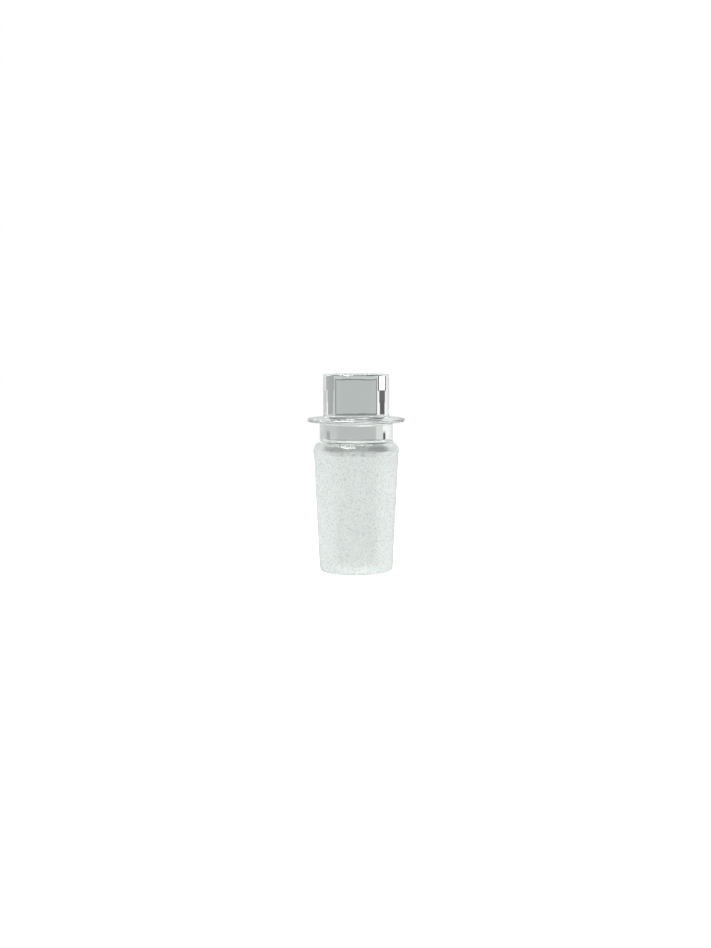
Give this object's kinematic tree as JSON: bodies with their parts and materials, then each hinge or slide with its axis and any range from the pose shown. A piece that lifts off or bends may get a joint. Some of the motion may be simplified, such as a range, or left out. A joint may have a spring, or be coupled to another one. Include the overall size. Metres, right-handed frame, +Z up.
{
  "type": "ground glass stopper",
  "caption": "Solid clear borosilicate stopper: tapered ground cone below, disc collar, and a plain round head above.",
  "frame": {"origin": "on the stopper's axis, at the level of the face that it stands on", "axes": "+Z up along the axis, from the ground cone to the head; the part is round about Z"},
  "size_m": [0.0214, 0.0214, 0.0433],
  "materials": {
    "clear_glass": "clear borosilicate, pressed and fire-polished",
    "ground_glass": "borosilicate ground matt with fine grit"
  },
  "bodies": {
    "root": {"cone_foot": "ground_glass", "ground_cone": "ground_glass", "cone_shoulder": "clear_glass", "neck": "clear_glass", "collar_disc": "clear_glass", "head": "clear_glass", "head_top": "clear_glass"}
  },
  "joints": []
}
